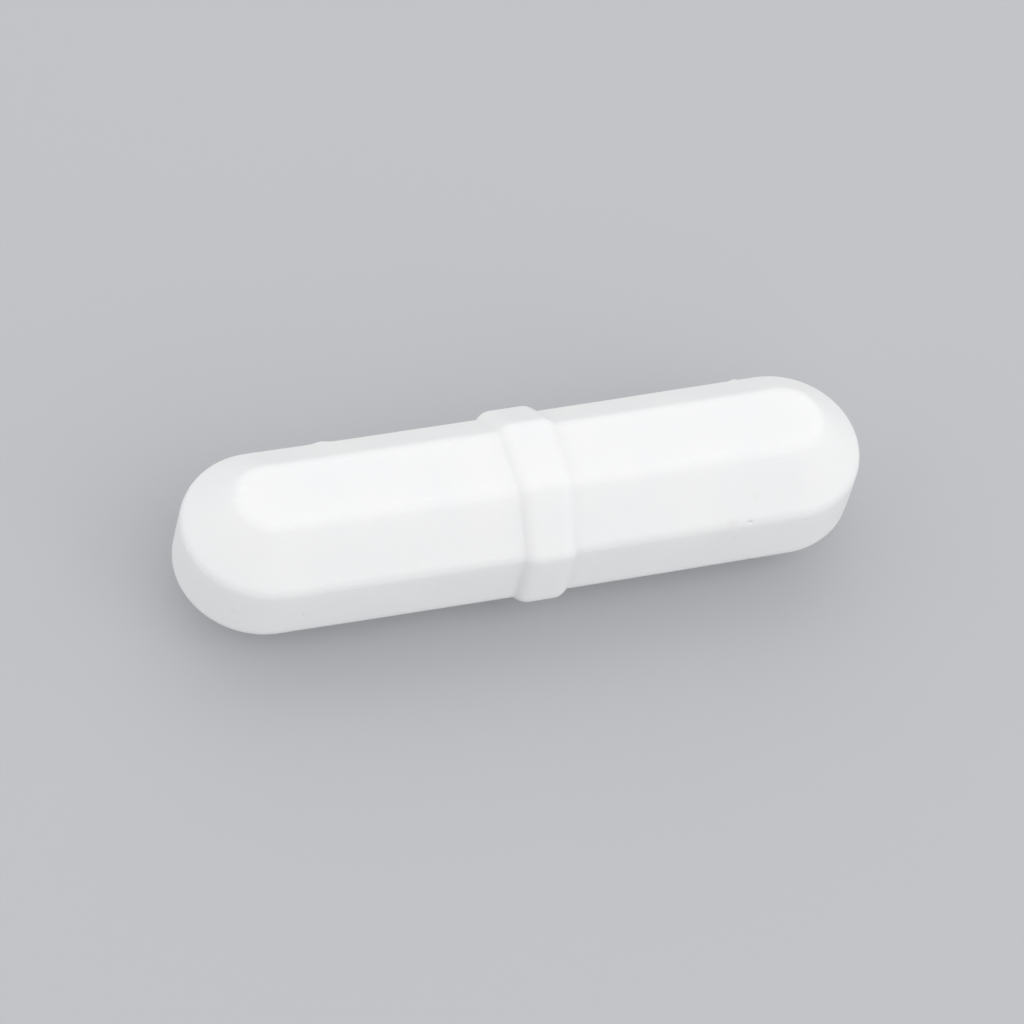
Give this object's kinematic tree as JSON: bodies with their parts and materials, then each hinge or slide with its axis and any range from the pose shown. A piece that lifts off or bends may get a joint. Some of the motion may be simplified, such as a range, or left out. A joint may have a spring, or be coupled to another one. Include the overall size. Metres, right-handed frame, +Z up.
{
  "type": "magnetic stir bar",
  "caption": "Octagonal white PTFE stir bar with rounded ends and a raised pivot ring round its middle, moulded over a sealed rod magnet.",
  "frame": {"origin": "below the middle of the bar's length, in the plane of the ring's lowest flat, on which the bar stands", "axes": "+X along the bar, towards the tip that the ring sits a little nearer to; +Z up, square to the flat it stands on and along the upright axes that the two ends are turned about; +Y across the bar"},
  "size_m": [0.038, 0.0098, 0.0099],
  "materials": {
    "ptfe": "sintered white PTFE, satin",
    "magnet_alloy": "cast aluminium-nickel-cobalt magnet alloy, ground round, with broken ends"
  },
  "bodies": {
    "root": {"ptfe_jacket": "ptfe", "magnet_rod": "magnet_alloy"}
  },
  "joints": []
}
